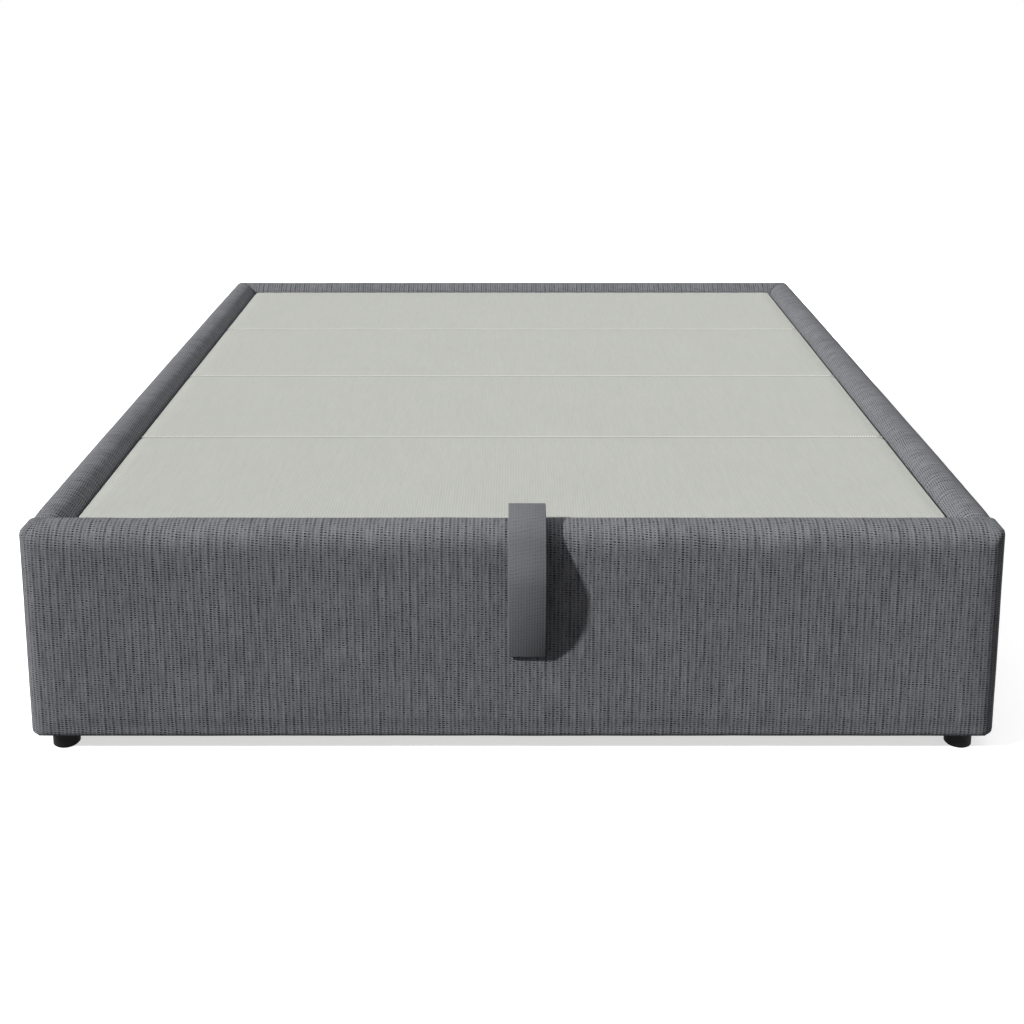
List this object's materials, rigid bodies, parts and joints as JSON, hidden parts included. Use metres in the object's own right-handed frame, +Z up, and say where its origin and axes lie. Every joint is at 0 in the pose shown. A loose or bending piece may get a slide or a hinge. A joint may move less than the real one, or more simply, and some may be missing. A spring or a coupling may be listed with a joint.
{
  "type": "ottoman storage bed",
  "caption": "Low upholstered storage bed frame: padded walls on round feet, a hinged panelled mattress platform on gas struts over a storage well, and a fabric pull strap.",
  "frame": {"origin": "on the floor, under the middle of the whole object's bounding box, pull strap included", "axes": "+X to the right seen from the foot end, +Y from the foot end (pull strap) to the head end, +Z up"},
  "size_m": [1.982, 2.2374, 0.5235],
  "materials": {
    "wall_fabric": "ribbed woven upholstery",
    "platform_fabric": "fine pale weave",
    "strap_fabric": "plain woven strap",
    "padding": "soft padding",
    "timber": "sawn softwood",
    "board": "plain board",
    "black_foot": "matt black",
    "buffer_rubber": "matt",
    "black_steel": "black powder coat",
    "rod_chrome": "polished",
    "zinc_steel": "zinc plated"
  },
  "bodies": {
    "base": {"front_panel_cover": "wall_fabric", "front_panel_foam": "padding", "front_panel_core": "timber", "left_rail_cover": "wall_fabric", "left_rail_foam": "padding", "left_rail_core": "timber", "right_rail_cover": "wall_fabric", "right_rail_foam": "padding", "right_rail_core": "timber", "head_rail_cover": "wall_fabric", "head_rail_foam": "padding", "head_rail_core": "timber", "corner_brackets": "zinc_steel", "frame_bolts": "zinc_steel", "floor_battens": "timber", "centre_beam": "timber", "beam_legs": "timber", "floor_board_1": "board", "floor_board_2": "board", "floor_board_3": "board", "feet": "black_foot", "foot_screws": "zinc_steel", "left_hinge_plate": "black_steel", "right_hinge_plate": "black_steel", "pivot_pins": "zinc_steel", "lower_strut_studs": "zinc_steel", "rest_brackets": "zinc_steel", "rest_buffers": "buffer_rubber"},
    "left_strut_barrel": {"left_strut_cylinder": "black_steel"},
    "left_strut_plunger": {"left_strut_rod": "rod_chrome"},
    "right_strut_barrel": {"right_strut_cylinder": "black_steel"},
    "right_strut_plunger": {"right_strut_rod": "rod_chrome"},
    "platform": {"left_lift_arm": "black_steel", "right_lift_arm": "black_steel", "lift_arm_bolts": "zinc_steel", "left_platform_tube": "black_steel", "right_platform_tube": "black_steel", "platform_foot_tube": "black_steel", "platform_head_tube": "black_steel", "platform_cross_tubes": "black_steel", "platform_cover_1": "platform_fabric", "platform_cover_2": "platform_fabric", "platform_cover_3": "platform_fabric", "platform_cover_4": "platform_fabric", "platform_board_1": "board", "platform_board_2": "board", "platform_board_3": "board", "platform_board_4": "board", "platform_screws": "zinc_steel", "pull_strap": "strap_fabric", "strap_clamp": "zinc_steel"}
  },
  "joints": [
    {"name": "platform_lift", "type": "hinge", "parent": "base", "child": "platform", "pos_m": [0, 0.72869, 0.431], "axis": [-1, 0, 0], "range_deg": [0, 42]},
    {"name": "left_strut_swing", "type": "hinge", "parent": "base", "child": "left_strut_barrel", "pos_m": [-0.88, 0.56369, 0.181], "axis": [-1, 0, 0], "range_deg": [0, 21.4]},
    {"name": "left_strut_extend", "type": "slide", "parent": "left_strut_barrel", "child": "left_strut_plunger", "axis": [0, -0.5335, 0.8458], "range_m": [0, 0.1795]},
    {"name": "right_strut_swing", "type": "hinge", "parent": "base", "child": "right_strut_barrel", "pos_m": [0.88, 0.56369, 0.181], "axis": [-1, 0, 0], "range_deg": [0, 21.4]},
    {"name": "right_strut_extend", "type": "slide", "parent": "right_strut_barrel", "child": "right_strut_plunger", "axis": [0, -0.5335, 0.8458], "range_m": [0, 0.1795]}
  ],
  "couplings": [
    {"joint": "left_strut_swing", "follows": "platform_lift", "ratio": 0.50703},
    {"joint": "left_strut_extend", "follows": "platform_lift", "m_per_rad": 0.24395},
    {"joint": "right_strut_swing", "follows": "platform_lift", "ratio": 0.50703},
    {"joint": "right_strut_extend", "follows": "platform_lift", "m_per_rad": 0.24395}
  ]
}
